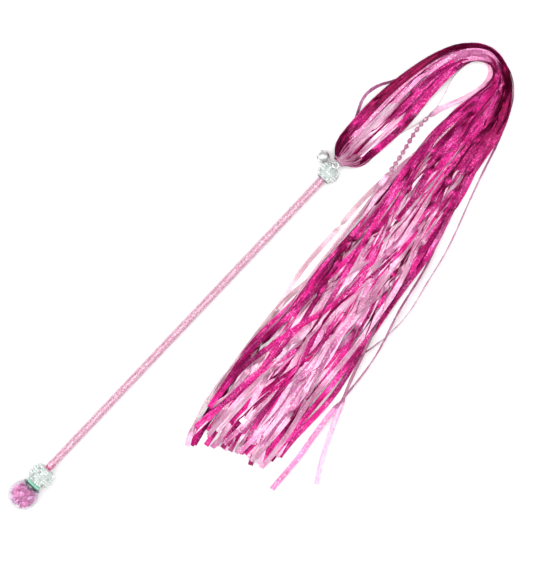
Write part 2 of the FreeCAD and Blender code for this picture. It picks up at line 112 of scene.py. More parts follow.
# How much of a streamer's place at each station comes from its place at the head and at its end.
HEAD_SHARE = [1.0, 1.0, 0.9, 0.7, 0.35, 0, 0, 0, 0, 0, 0, 0, 0, 0, 0, 0, 0]
END_SHARE = [0, 0, 0, 0, 0, 0, 0, 0.15, 0.4, 0.6, 0.8, 0.95, 1.0, 1.0, 1.0, 1.0, 1.0]
BEND_PLACES = (0.17, 0.5, 0.83)
SNAKE_HEIGHT = 0.0045
SNAKE_STEP = 0.9

# The tassel's layers from the table up. Each holds three streamers side by side:
# (places across the head), (places across the ends), (how far each one passes the last station).
LAYERS = [
    ((0.08, 0.40, 0.74), (0.10, 0.46, 0.80), (0.014, 0.006, 0.003)),
    ((0.18, 0.50, 0.90), (0.22, 0.56, 0.92), (0.018, 0.009, -0.006)),
    ((0.04, 0.30, 0.62), (0.05, 0.36, 0.70), (0.022, 0.012, 0.004)),
    ((0.12, 0.45, 0.82), (0.16, 0.50, 0.86), (0.011, 0.002, -0.003)),
    ((0.24, 0.58, 0.95), (0.28, 0.62, 0.97), (0.016, 0.005, -0.009)),
    ((0.06, 0.36, 0.68), (0.08, 0.41, 0.75), (0.020, 0.008, 0.006)),
    ((0.16, 0.54, 0.86), (0.20, 0.53, 0.89), (0.008, 0.003, -0.002)),
    ((0.28, 0.64, 0.92), (0.33, 0.67, 0.94), (0.013, 0.007, -0.007)),
    ((0.03, 0.34, 0.78), (0.02, 0.44, 0.83), (0.024, 0.010, 0.001)),
]

# Streamers that stray from the tassel, as (layer, route).
STRAYS = {
    "upper_loop": (12, [
        (0.3492, 0.0100), (0.3620, 0.0150), (0.3760, 0.0220), (0.3900, 0.0195), (0.4030, 0.0105),
        (0.4200, 0.0040), (0.4400, -0.0015), (0.4570, -0.0100), (0.4670, -0.0230), (0.4665, -0.0380),
        (0.4550, -0.0500), (0.4340, -0.0550), (0.4000, -0.0570), (0.3500, -0.0620), (0.3000, -0.0695),
        (0.2500, -0.0750), (0.2000, -0.0835), (0.1550, -0.0890), (0.1180, -0.0955),
    ]),
    "inner_loop": (9, [
        (0.3500, -0.0120), (0.3660, -0.0170), (0.3840, -0.0230), (0.4040, -0.0270), (0.4200, -0.0235),
        (0.4360, -0.0180), (0.4510, -0.0195), (0.4615, -0.0255), (0.4630, -0.0375), (0.4520, -0.0455),
        (0.4330, -0.0460), (0.4040, -0.0445), (0.3600, -0.0480), (0.3120, -0.0550), (0.2650, -0.0580),
        (0.2150, -0.0625), (0.1650, -0.0660), (0.1220, -0.0725),
    ]),
    "outer_sweep": (9, [
        (0.3492, 0.0020), (0.3740, 0.0010), (0.4000, 0.0005), (0.4280, 0.0000), (0.4530, -0.0045),
        (0.4705, -0.0175), (0.4730, -0.0360), (0.4660, -0.0560), (0.4490, -0.0700), (0.4250, -0.0780),
        (0.4000, -0.0840), (0.3720, -0.0940), (0.3450, -0.1035), (0.3150, -0.1140), (0.2820, -0.1245),
        (0.2540, -0.1220), (0.2250, -0.1155), (0.1900, -0.1085), (0.1550, -0.1040),
    ]),
    "twisted_edge": (10, [
        (0.3492, -0.0080), (0.3780, -0.0095), (0.4080, -0.0085), (0.4340, -0.0090), (0.4520, -0.0155),
        (0.4625, -0.0260), (0.4610, -0.0370), (0.4490, -0.0420), (0.4300, -0.0380), (0.4100, -0.0300),
        (0.3880, -0.0275), (0.3580, -0.0330), (0.3220, -0.0380), (0.2750, -0.0415), (0.2280, -0.0470),
        (0.1800, -0.0485), (0.1360, -0.0520), (0.1040, -0.0575), (0.0840, -0.0680),
    ]),
    "lower_stray": (10, [
        (0.3492, 0.0060), (0.3780, 0.0055), (0.4080, 0.0050), (0.4370, 0.0010), (0.4580, -0.0070),
        (0.4700, -0.0220), (0.4705, -0.0390), (0.4600, -0.0560), (0.4360, -0.0690), (0.4020, -0.0780),
        (0.3600, -0.0900), (0.3150, -0.1020), (0.2780, -0.1130), (0.2440, -0.1260), (0.2020, -0.1320),
        (0.1600, -0.1305), (0.1300, -0.1360), (0.1040, -0.1380),
    ]),
    "pale_stray": (11, [
        (0.3492, 0.0000), (0.3780, 0.0005), (0.4080, 0.0000), (0.4370, -0.0040), (0.4555, -0.0115),
        (0.4660, -0.0245), (0.4665, -0.0375), (0.4565, -0.0525), (0.4340, -0.0620), (0.4000, -0.0695),
        (0.3520, -0.0800), (0.3050, -0.0920), (0.2620, -0.1040), (0.2240, -0.1160), (0.1920, -0.1285),
        (0.1620, -0.1425), (0.1320, -0.1620),
    ]),
}
# What kind each streamer is, where it isn't plain foil. A kind sets its film and how it lies among them.
KINDS = {
    2: "band", 5: "head", 8: "head", 11: "head", 13: "band", 16: "pale", 18: "pale", 20: "head", 22: "pale",
    26: "band", "upper_loop": "under", "outer_sweep": "line", "twisted_edge": "thin", "inner_loop": "clear",
    "lower_stray": "line", "pale_stray": "thin",
}
# The deep kind is the foil film with a low tone, painted shade along the tassel's outer edge.
FILMS = {
    "foil": "foil", "deep": "foil", "head": "head", "pale": "pale", "thin": "pale", "band": "band",
    "line": "band", "under": "band", "clear": "clear",
}
# How high the streamers of each kind lie at each station: 0 under the others, 1 in their own layer, 2 on top.
IN_LAYER = [1] * len(STATIONS)
RISING_LATE = [0, 0, 0, 0, 0, 0, 0, 0, 0, 0.3, 0.8, 1, 1, 1, 1, 1, 1]
RISES = {
    "foil": IN_LAYER,
    "deep": IN_LAYER,
    "line": [1, 1, 1, 1, 0.8, 0.4, 0, 0, 0, 0.3, 0.8, 1, 1, 1, 1, 1, 1],
    "under": [0.3] * len(STATIONS),
    "pale": [0, 0, 0, 0, 0, 0, 0, 0, 0, 0.3, 0.9, 1.3, 1.3, 1.4, 1.3, 1.4, 1.3],
    "head": [1.9, 1.7, 0, 0, 0, 0, 0, 0, 0, 0.3, 0.8, 1, 1.1, 1, 1.1, 1, 1],
    "band": [0.2, 0, 0, 1.0, 2, 2, 1.2, 0, 0, 0, 0.6, 1, 1, 1, 1.1, 1, 1],
    "clear": RISING_LATE,
    "thin": RISING_LATE,
}
TOP_HEIGHT = 0.0066
TWIST_STARTS = [0.213 + 0.0052 * turn for turn in range(11)]
# Where each stray stands on its edge, as (start, end, lean in degrees) along it.
STRAY_EDGEWAYS = {
    "upper_loop": [(0.02, 0.50, 70)],
    "inner_loop": [(0.03, 0.19, 80)],
    "outer_sweep": [(0.10, 0.50, 76)],
    "twisted_edge": [(start, 0.70, 180) for start in TWIST_STARTS] + [(0.28, 0.52, 72)],
    "lower_stray": [(0.22, 0.47, 74)],
    "pale_stray": [(0.30, 0.45, 64)],
}
STRAY_BEND_ROLL = 15
STRAY_ROCK = 8

# The streamers that fill the tassel out between those, as
# (kind, how many, head places, bend places, end places, layers, roll in the bend, tones).
FILLING = [
    # The deep streamers are foil with a low tone near the outer edge: painted shade along the tassel's outer
    # edge.
    ("deep", 10, (0.78, 1.00), (0.62, 0.86), (0.30, 1.00), (7, 13), (45, 85), (0.0, 0.2)),
    ("foil", 9, (0.00, 0.35), (0.10, 0.60), (0.10, 0.80), (3, 12), (20, 70), (0.4, 1.0)),
    ("foil", 7, (0.00, 0.50), (0.08, 0.30), (0.02, 0.40), (9, 13), (20, 60), (0.5, 1.0)),
    ("foil", 7, (0.30, 0.80), (0.12, 0.85), (0.20, 1.00), (1, 10), (30, 80), (0.3, 1.0)),
    ("head", 8, (0.20, 0.68), (0.30, 0.80), (0.00, 0.75), (6, 13), (10, 50), (0.0, 1.0)),
    ("band", 6, (0.30, 0.70), (0.20, 0.75), (0.30, 0.85), (9, 13), (0, 12), (0.0, 1.0)),
    ("pale", 4, (0.10, 0.60), (0.30, 0.70), (0.02, 0.30), (4, 11), (20, 60), (0.0, 1.0)),
    ("pale", 13, (0.10, 0.70), (0.30, 0.85), (0.12, 1.00), (6, 13), (20, 60), (0.0, 1.0)),
    ("clear", 3, (0.10, 0.30), (0.15, 0.30), (-0.13, 0.00), (1, 3), (20, 40), (0.0, 1.0)),
]


def table_z(x):
    return -GLOBE_RADIUS + (x - GLOBE_X) * math.tan(TABLE_TILT)


# Camera, lights and table

def make_camera():
    camera = bpy.data.objects.new("camera", bpy.data.cameras.new("camera"))
    bpy.context.scene.collection.objects.link(camera)
    camera.data.lens = VIEW_LENS
    camera.data.sensor_width = SENSOR_WIDTH
    camera.data.clip_end = 50.0
    distance = VIEW_HEIGHT * VIEW_LENS / SENSOR_WIDTH
    camera.location = (*VIEW_CENTRE, distance + VIEW_FOCUS)
    camera.rotation_euler = (0, 0, -VIEW_TURN)
    bpy.context.scene.camera = camera


def softbox(name, place, size, power):
    """A square area light that faces the tassel and wand from where it stands."""
    light = bpy.data.lights.new(name, "AREA")
    light.shape = "SQUARE"
    light.size = size
    light.energy = power
    box = bpy.data.objects.new(name, light)
    bpy.context.scene.collection.objects.link(box)
    box.location = place
    aim = Vector((*VIEW_CENTRE, 0)) - Vector(place)
    box.rotation_euler = aim.to_track_quat("-Z", "Y").to_euler()


def make_studio():
    world = bpy.data.worlds.new("studio")
    bpy.context.scene.world = world
    world.use_nodes = True
    tree = world.node_tree
    direction = tree.nodes.new("ShaderNodeTexCoord").outputs["Generated"]
    height = tree.nodes.new("ShaderNodeSeparateXYZ")
    tree.links.new(direction, height.inputs[0])
    sky = ramp(tree, height.outputs["Z"], [
        (0.0, (0.72, 0.72, 0.73)), (0.25, (0.42, 0.42, 0.43)), (0.6, (0.50, 0.50, 0.51)),
        (1.0, (0.82, 0.82, 0.82)),
    ])
    tree.links.new(sky, tree.nodes["Background"].inputs["Color"])
    softbox("top_light", (0.15, 0.1, 1.9), 1.4, 22)
    softbox("left_light", (-0.9, 0.9, 1.2), 0.9, 10)
    softbox("right_light", (1.1, -0.9, 1.0), 0.7, 6)

    bpy.ops.mesh.primitive_grid_add(x_subdivisions=8, y_subdivisions=8, size=8)
    table = bpy.context.object
    table.name = "table_top"
    table.location = (GLOBE_X, 0, -GLOBE_RADIUS)
    table.rotation_euler = (0, -TABLE_TILT, 0)
    material, tree, shader = new_material("table_white")
    set_values(shader, {"Base Color": (0.97, 0.97, 0.97, 1), "Roughness": 0.9, "Specular IOR Level": 0.1})
    table.data.materials.append(material)
    bpy.context.scene.view_settings.view_transform = "Standard"


# Material helpers

def new_material(name):
    material = bpy.data.materials.new(name)
    material.use_nodes = True
    tree = material.node_tree
    return material, tree, tree.nodes["Principled BSDF"]


def set_values(shader, values):
    """Set the shader inputs that are the same everywhere."""
    for name, value in values.items():
        shader.inputs[name].default_value = value


def plug(tree, socket, value):
    """Link value to socket if it is another node's output, and set it otherwise."""
    if isinstance(value, bpy.types.NodeSocket):
        tree.links.new(value, socket)
    else:
        socket.default_value = value


def add_node(tree, kind, inputs, output=0, **settings):
    """Add a shader node and return one of its outputs."""
    node = tree.nodes.new("ShaderNode" + kind)
    for name, value in settings.items():
        setattr(node, name, value)
    for name, value in inputs.items():
        plug(tree, node.inputs[name], value)
    return node.outputs[output]


def ramp(tree, factor, stops):
    """A colour ramp through (position, colour) stops."""
    node = tree.nodes.new("ShaderNodeValToRGB")
    elements = node.color_ramp.elements
    while len(elements) < len(stops):
        elements.new(0.5)
    for element, (position, colour) in zip(elements, stops):
        element.position = position
        element.color = (*colour, 1)
    tree.links.new(factor, node.inputs[0])
    return node.outputs[0]


def mix(tree, factor, first, second, how="MIX"):
    node = tree.nodes.new("ShaderNodeMix")
    node.data_type = "RGBA"
    node.blend_type = how
    plug(tree, node.inputs[0], factor)
    plug(tree, node.inputs[6], first)
    plug(tree, node.inputs[7], second)
    return node.outputs[2]


def maths(tree, operation, first, second):
    """One maths node, such as ADD or MULTIPLY, on two numbers."""
    return add_node(tree, "Math", {0: first, 1: second}, operation=operation)


def average(tree, first, second):
    return maths(tree, "MULTIPLY", maths(tree, "ADD", first, second), 0.5)


def bump(tree, shader, height, strength, distance):
    normal = add_node(tree, "Bump", {"Strength": strength, "Distance": distance, "Height": height})
    tree.links.new(normal, shader.inputs["Normal"])


def noise(tree, vector, scale, detail=2.0, roughness=0.5):
    return add_node(tree, "TexNoise", {
        "Vector": vector, "Scale": scale, "Detail": detail, "Roughness": roughness,
    })


def attribute(tree, name):
    return add_node(tree, "Attribute", {}, "Fac", attribute_name=name)


def strip_coordinates(tree, across_scale=1.0, along_scale=1.0):
    """Metres along and across a streamer, and a third number that differs from streamer to streamer."""
    along = maths(tree, "MULTIPLY", attribute(tree, "along"), along_scale)
    across = maths(tree, "MULTIPLY", attribute(tree, "across"), across_scale)
    return add_node(tree, "CombineXYZ", {0: along, 1: across, 2: attribute(tree, "film")})


# Streamer materials

def film_patterns(tree):
    """Long streaks, slow clouds and fine cells on a streamer, each from 0 to 1."""
    fine = strip_coordinates(tree)
    streaky = strip_coordinates(tree, across_scale=0.7, along_scale=0.07)
    slow = strip_coordinates(tree, along_scale=0.5)
    streak = noise(tree, streaky, 900.0, detail=3.0, roughness=0.6)
    cloud = noise(tree, slow, 50.0, detail=4.0, roughness=0.65)
    cells = add_node(tree, "TexVoronoi", {"Vector": fine, "Scale": 1200.0}, "Color")
    cell = add_node(tree, "SeparateColor", {"Color": cells}, 0)
    return streak, cloud, cell


def film_relief(tree, shader, cell, streak, strength, distance):
    """Fine crinkles: the cells of the pattern and, twice as strong, the long streaks."""
    height = maths(tree, "ADD", cell, maths(tree, "MULTIPLY", streak, 2.0))
    bump(tree, shader, height, strength, distance)


def foil_material():
    """Metallised hot pink film with a fine sparkling pattern and painted glints. Its tone, a random tone with
    painted shade and painted light, runs from maroon to bright pink.
    """
    material, tree, shader = new_material("hot_pink_foil")
    streak, cloud, cell = film_patterns(tree)
    level = average(tree, streak, cloud)
    # Painted shade and light: the deep ramp is the foil painted dark and the bright ramp the foil painted
    # light; the tone attribute sets the share of each.
    deep = ramp(tree, level, [
        (0.34, (0.030, 0.0, 0.007)), (0.46, (0.12, 0.0, 0.026)), (0.58, (0.27, 0.002, 0.060)),
        (0.72, (0.42, 0.016, 0.13)),
    ])
    bright = ramp(tree, level, [
        (0.30, (0.12, 0.0, 0.028)), (0.41, (0.31, 0.002, 0.085)), (0.52, (0.42, 0.010, 0.15)),
        (0.63, (0.49, 0.07, 0.24)), (0.75, (0.57, 0.21, 0.37)),
    ])
    share = ramp(tree, attribute(tree, "tone"), [(0.05, (0, 0, 0)), (0.6, (1, 1, 1))])
    body = mix(tree, share, deep, bright)
    sparkle = ramp(tree, cell, [
        (0.0, (0.5, 0.45, 0.5)), (0.4, (0.85, 0.85, 0.85)), (0.85, (1.2, 1.2, 1.3)),
    ])
    colour = mix(tree, 1.0, body, sparkle, "MULTIPLY")
    # Painted glints: the brightest cells are pushed towards a pale pink, where the cloud is high and on
    # high-tone strips only.
    glint = ramp(tree, cell, [(0.80, (0, 0, 0)), (1.0, (0.55, 0.55, 0.55))])
    where = ramp(tree, cloud, [(0.42, (0, 0, 0)), (0.58, (1, 1, 1))])
    glint = mix(tree, 1.0, mix(tree, 1.0, glint, where, "MULTIPLY"), share, "MULTIPLY")
    colour = mix(tree, glint, colour, (0.70, 0.25, 0.46, 1))
    tree.links.new(colour, shader.inputs["Base Color"])
    set_values(shader, {"Metallic": 0.85, "Roughness": 0.36})
    film_relief(tree, shader, cell, streak, strength=0.45, distance=0.00025)
    return material


def pale_material(name, tints, opacity):
    """Translucent pink film with a pearly sheen and painted glints. Its tints run from the deepest to the
    palest.
    """
    material, tree, shader = new_material(name)
    streak, cloud, cell = film_patterns(tree)
    level = average(tree, streak, cloud)
    pearl = ramp(tree, level, list(zip((0.37, 0.47, 0.56, 0.64, 0.74), tints)))
    # Painted glints: the brightest cells are pushed towards a pale pink.
    glint = ramp(tree, cell, [(0.86, (0, 0, 0)), (0.98, (0.6, 0.6, 0.6))])
    colour = mix(tree, glint, pearl, (0.92, 0.74, 0.84, 1))
    tree.links.new(colour, shader.inputs["Base Color"])
    set_values(shader, {
        "Metallic": 0.25, "Roughness": 0.25, "Alpha": opacity,
        "Coat Weight": 0.5, "Coat Roughness": 0.1,
    })
    film_relief(tree, shader, cell, streak, strength=0.35, distance=0.0002)
    return material


# Wand materials

def clear_plastic(name, tints, face_cover, edge_cover):
    """Clear moulded plastic: almost nothing face on, and tinted at its edge, where its wall is seen along."""
    material, tree, shader = new_material(name)
    place = add_node(tree, "TexCoord", {}, "Object")
    scuffs = noise(tree, place, 220.0, detail=3.0)
    edge = add_node(tree, "LayerWeight", {"Blend": 0.35}, "Facing")
    steep = maths(tree, "POWER", edge, 2.2)
    cover = maths(tree, "ADD", maths(tree, "MULTIPLY", steep, edge_cover - face_cover), face_cover)
    tree.links.new(cover, shader.inputs["Alpha"])
    colour = ramp(tree, scuffs, list(zip((0.3, 0.7), tints)))
    tree.links.new(colour, shader.inputs["Base Color"])
    rough = ramp(tree, scuffs, [(0.4, (0.04, 0.04, 0.04)), (0.7, (0.14, 0.14, 0.14))])
    tree.links.new(rough, shader.inputs["Roughness"])
    set_values(shader, {"IOR": 1.49, "Coat Weight": 0.5})
    return material


def glitter_look(name, colours, scale):
    """Packed glitter: small cells that differ in colour and tilt."""
    material, tree, shader = new_material(name)
    place = add_node(tree, "TexCoord", {}, "Object")
    cells = add_node(tree, "TexVoronoi", {"Vector": place, "Scale": scale}, "Color")
    cell = add_node(tree, "SeparateColor", {"Color": cells}, 0)
    tilt = add_node(tree, "SeparateColor", {"Color": cells}, 1)
    tree.links.new(ramp(tree, cell, colours), shader.inputs["Base Color"])
    set_values(shader, {"Metallic": 0.35})
    rough = ramp(tree, tilt, [(0.0, (0.15, 0.15, 0.15)), (1.0, (0.5, 0.5, 0.5))])
    tree.links.new(rough, shader.inputs["Roughness"])
    bump(tree, shader, tilt, 0.6, 0.0003)
    return material


def flake_material():
    """Glitter flakes, each with its own tone."""
    material, tree, shader = new_material("glitter_flakes")
    colour = ramp(tree, attribute(tree, "tone"), [
        (0.0, (0.58, 0.17, 0.32)), (0.25, (0.76, 0.40, 0.53)), (0.6, (0.84, 0.55, 0.66)),
        (0.85, (0.87, 0.68, 0.77)), (1.0, (0.94, 0.88, 0.92)),
    ])
    tree.links.new(colour, shader.inputs["Base Color"])
    grain = add_node(tree, "TexNoise", {"Scale": 3000.0})
    rough = ramp(tree, grain, [(0.3, (0.12, 0.12, 0.12)), (0.7, (0.35, 0.35, 0.35))])
    tree.links.new(rough, shader.inputs["Roughness"])
    set_values(shader, {"Metallic": 0.6})
    return material


def crumpled_film_material():
    """Iridescent pink film in the globe, pink to magenta with lavender and silver glints."""
    material, tree, shader = new_material("crumpled_film")
    place = add_node(tree, "TexCoord", {}, "Object")
    tone = attribute(tree, "tone")
    cloud = noise(tree, place, 420.0, detail=4.0, roughness=0.6)
    level = maths(tree, "ADD", maths(tree, "MULTIPLY", cloud, 0.6), maths(tree, "MULTIPLY", tone, 0.45))
    colour = ramp(tree, level, [
        (0.26, (0.42, 0.05, 0.25)), (0.38, (0.66, 0.15, 0.42)), (0.54, (0.78, 0.27, 0.56)),
        (0.68, (0.76, 0.36, 0.66)), (0.80, (0.66, 0.46, 0.76)),
    ])
    tree.links.new(colour, shader.inputs["Base Color"])
    set_values(shader, {"Metallic": 0.1, "Roughness": 0.35})
    bump(tree, shader, cloud, 0.4, 0.0004)
    return material


def rhinestone_material():
    """Foil-backed cut stones: bright silver, with a cold grey-green in some facets."""
    material, tree, shader = new_material("rhinestones")
    place = add_node(tree, "TexCoord", {}, "Object")
    cloud = noise(tree, place, 900.0)
    tone = attribute(tree, "tone")
    level = maths(tree, "ADD", maths(tree, "MULTIPLY", cloud, 0.5), maths(tree, "MULTIPLY", tone, 0.5))
    colour = ramp(tree, level, [
        (0.22, (0.30, 0.37, 0.34)), (0.36, (0.58, 0.65, 0.62)), (0.52, (0.76, 0.81, 0.79)),
        (0.8, (0.90, 0.92, 0.91)),
    ])
    tree.links.new(colour, shader.inputs["Base Color"])
    set_values(shader, {"Metallic": 0.35, "Roughness": 0.15, "Coat Weight": 1.0, "Coat Roughness": 0.03})
    return material


def shaded_clay_material():
    """White resin clay between the stones, coloured a dull grey-green as painted shade in the gaps between
    the stones, with fine pits.
    """
    material, tree, shader = new_material("white_clay_with_painted_shade")
    place = add_node(tree, "TexCoord", {}, "Object")
    pits = noise(tree, place, 2200.0, detail=4.0)
    # Painted shade: the clay is coloured far darker than white, so the gaps between the stones look shaded.
    colour = ramp(tree, pits, [(0.3, (0.38, 0.44, 0.41)), (0.6, (0.58, 0.63, 0.61))])
    tree.links.new(colour, shader.inputs["Base Color"])
    set_values(shader, {"Roughness": 0.5})
    bump(tree, shader, pits, 0.6, 0.0002)
    return material


def metal_material(name, dark, light, roughness):
    """Plated or bare metal with fine scratches and uneven polish."""
    material, tree, shader = new_material(name)
    place = add_node(tree, "TexCoord", {}, "Object")
    scratches = noise(tree, place, 700.0, detail=6.0, roughness=0.7)
    clouds = noise(tree, place, 160.0)
    tree.links.new(ramp(tree, clouds, [(0.3, dark), (0.65, light)]), shader.inputs["Base Color"])
    low = (roughness * 0.6,) * 3
    high = (roughness * 1.7,) * 3
    tree.links.new(ramp(tree, scratches, [(0.35, low), (0.7, high)]), shader.inputs["Roughness"])
    set_values(shader, {"Metallic": 1.0})
    bump(tree, shader, scratches, 0.12, 0.00005)
    return material


def tinted_plastic(name, deep, light, cover, roughness):
    """Translucent coloured plastic or crystal, a little uneven in colour."""
    material, tree, shader = new_material(name)
    place = add_node(tree, "TexCoord", {}, "Object")
    clouds = noise(tree, place, 260.0, detail=3.0)
    tree.links.new(ramp(tree, clouds, [(0.35, light), (0.7, deep)]), shader.inputs["Base Color"])
    set_values(shader, {"Roughness": roughness, "Alpha": cover, "Coat Weight": 0.7, "Coat Roughness": 0.04})
    bump(tree, shader, clouds, 0.08, 0.0002)
    return material


# Streamer shapes

def lane_route(layer, head_place, bend_place, end_place, extra, crossing=(0, 0.0)):
    """A streamer's route through the stations, at its own place between the inner and outer edges.
    Its crossing is (station, shift), where it crosses its neighbours and comes back."""
    cross_station, cross_shift = crossing
    route = []
    for station, (inner, outer) in enumerate(STATIONS):
        head_share = HEAD_SHARE[station]
        end_share = END_SHARE[station]
        bend_share = 1 - head_share - end_share
        place = head_place * head_share + bend_place * bend_share + end_place * end_share
        place += cross_shift * math.exp(-((station - cross_station) / 1.1) ** 2)
        snake = SNAKE_HEIGHT * end_share * math.sin(SNAKE_STEP * station + layer)
        route.append((
            inner[0] + place * (outer[0] - inner[0]),
            inner[1] + place * (outer[1] - inner[1]) + snake,
        ))
    (before_x, before_y), (last_x, last_y) = route[-2:]
    run = math.hypot(last_x - before_x, last_y - before_y)
    grow = 1 + extra / run
    route[-1] = (before_x + grow * (last_x - before_x), before_y + grow * (last_y - before_y))
    return route


def head_points(head_place, kind, chance):
    """The points that lead a streamer out of the collar and down to the table. Pale ones leave on top."""
    inner, outer = STATIONS[0]
    across = inner[1] + head_place * (outer[1] - inner[1])
    share = 2 * head_place - 1
    lift = 0.0006 if kind in ("head", "pale") else -0.0004
    path = [
        (COLLAR_LOW.x - 0.0006, 0.0038 * share, lift),
        (COLLAR_HIGH.x - 0.0003, 0.0046 * share, lift),
        (COLLAR_HIGH.x + 0.0040, 0.80 * across, -0.0022),
        (COLLAR_HIGH.x + 0.0115, 1.02 * across, -0.0055),
    ]
    return [(x, y, z + chance.uniform(-HEAD_SPREAD, HEAD_SPREAD)) for x, y, z in path]


def control_points(route, layer, head_place, kind, chance):
    """A streamer's route in space: out of the collar, then along the table in its layer of the tassel."""
    points = head_points(head_place, kind, chance)
    own_height = layer * LAYER_PITCH
    rises = RISES[kind]
    for step, (x, y) in enumerate(route):
        rise = rises[min(step, len(rises) - 1)]
        height = own_height * min(rise, 1) + (TOP_HEIGHT - own_height) * max(rise - 1, 0)
        points.append((x, y, table_z(x) + max(height, LEAST_HEIGHT)))
    return points


def smooth_line(points):
    """The smooth line that these points control, read from a NURBS spline."""
    curve = bpy.data.curves.new("route", "CURVE")
    curve.dimensions = "3D"
    curve.resolution_u = 10
    spline = curve.splines.new("NURBS")
    spline.points.add(len(points) - 1)
    for place, point in zip(spline.points, points):
        place.co = (*point, 1)
    spline.order_u = 3
    spline.use_endpoint_u = True
    holder = bpy.data.objects.new("route", curve)
    mesh = bpy.data.meshes.new_from_object(holder)
    line = np.array([vertex.co for vertex in mesh.vertices])
    bpy.data.objects.remove(holder)
    bpy.data.curves.remove(curve)
    bpy.data.meshes.remove(mesh)
    return line


def evenly(line, step):
    """Points at even steps along a line, and how far along it each one is."""
    runs = np.linalg.norm(np.diff(line, axis=0), axis=1)
    so_far = np.concatenate([[0], np.cumsum(runs)])
    count = int(so_far[-1] / step) + 1
    along = np.linspace(0, so_far[-1], count)
    points = np.stack([np.interp(along, so_far, line[:, axis]) for axis in range(3)], axis=1)
    return points, along


def wander(along, wavelength, chance):
    """A smooth random curve between about -1 and 1."""
    total = np.zeros_like(along)
    for share, stretch in ((0.5, 1.0), (0.3, 0.53), (0.2, 0.31)):
        phase = chance.uniform(0, 2 * math.pi)
        total += share * np.sin(2 * math.pi * along / (wavelength * stretch) + phase)
    return total


def smoothstep(value):
    held = np.clip(value, 0, 1)
    return held * held * (3 - 2 * held)


def unit(vectors):
    return vectors / np.linalg.norm(vectors, axis=1, keepdims=True)


def roll_along(along, turning, bend_roll, twists, edgeways, rock, chance):
    """How far a streamer is rolled round its own line at each point, in radians. It rocks from side to side,
    rolls in bends, at its head and at each twist, and leans where it is edgeways."""
    smoothing = np.ones(15) / 15
    in_bend = np.clip(np.convolve(turning, smoothing, "same") * ROLL_PER_TURNING, 0, 1)
    roll = math.radians(rock) * wander(along, 0.21, chance)
    roll += math.radians(4) * wander(along, 0.02, chance)
    roll += math.radians(bend_roll) * in_bend * chance.choice((-1, 1))
    roll += math.radians(chance.uniform(-HEAD_ROLL, HEAD_ROLL)) * near_collar(along)
    for _ in range(twists):
        start = chance.uniform(0.04, along[-1] - 0.05)
        length = chance.uniform(0.014, 0.034)
        roll += chance.choice((-1, 1)) * math.pi * smoothstep((along - start) / length)
    for start, end, lean in edgeways:
        on = smoothstep((along - start) / EDGEWAYS_RAMP) - smoothstep((along - end) / EDGEWAYS_RAMP)
        roll += math.radians(lean) * on
    return roll


def near_collar(along):
    """1 in the collar, falling to 0 a little way out of it."""
    return 1 - smoothstep((along - 0.004) / 0.03)


def tone_and_painted_light_along(along, tones, chance):
    """How bright a streamer's film is at each point: a random tone, brightened as painted light past the
    bend, on its crown and at the head.
    """
    tone = chance.uniform(*tones) + 0.12 * wander(along, 0.09, chance)
    tone += 0.6 * (1 - tone) * smoothstep((along - 0.20) / 0.10)
    crown = smoothstep((along - 0.11) / 0.02) - smoothstep((along - 0.165) / 0.02)
    tone += 0.35 * (1 - tone) * crown
    tone += 0.6 * (1 - tone) * (1 - smoothstep((along - 0.02) / 0.04))
    return tone


def strip_shape(line, bend_roll, tones, chance, twists, edgeways, rock=ROCK):
    """A thin streamer along a line, as vertices, faces, values and its path.
    Film can't bend in its own plane, so it rolls by up to bend_roll degrees in bends. It rocks by up to rock
    degrees. Each of edgeways is (start, end, lean), a stretch where it leans by so many degrees more."""
    points, along = evenly(line, STREAMER_STEP)
    ahead = unit(np.gradient(points, axis=0))
    beside = unit(np.cross((0, 0, 1), ahead))
    above = np.cross(ahead, beside)
    turning = np.linalg.norm(np.gradient(ahead, axis=0), axis=1) / STREAMER_STEP
    roll = roll_along(along, turning, bend_roll, twists, edgeways, rock, chance)

    half = STREAMER_WIDTH / 2
    half_here = half * (1 - HEAD_NARROWING * near_collar(along))
    stray = NEAR_STRAY + FAR_STRAY * smoothstep((along - 0.17) / 0.08)
    stray *= smoothstep((along - 0.02) / 0.05)
    points = points + (stray * wander(along, 0.27, chance))[:, None] * beside
    need = table_z(points[:, 0]) + TABLE_GAP + half * np.abs(np.sin(roll))
    points[:, 2] = np.maximum(points[:, 2], need)
    across = beside * np.cos(roll)[:, None] + above * np.sin(roll)[:, None]
    facing = above * np.cos(roll)[:, None] - beside * np.sin(roll)[:, None]
    arch = ARCH * wander(along, 0.05, chance)
    rows = []
    for side in (1, -1):
        for share in (-1, 0, 1):
            offset = arch * (1 - share * share) + side * STREAMER_THICKNESS / 2
            rows.append(points + across * (half_here * share)[:, None] + facing * offset[:, None])
    count = len(points)
    vertices = np.stack(rows, axis=1).reshape(-1, 3)
    corners = len(SECTION)
    faces = []
    for step in range(count - 1):
        here = step * corners
        after = here + corners
        for first, second in zip(SECTION, SECTION[1:] + SECTION[:1]):
            faces.append((here + first, here + second, after + second, after + first))
    faces.append(tuple(reversed(SECTION)))
    faces.append(tuple((count - 1) * corners + place for place in SECTION))
    tone = tone_and_painted_light_along(along, tones, chance)
    values = {
        "along": np.repeat(along, corners) + chance.uniform(0, 5),
        "across": np.tile(np.array([-half, 0, half] * 2), count),
        "tone": np.repeat(tone, corners),
        "film": np.full(count * corners, chance.uniform(0, 9)),
    }
    return vertices, faces, values, points


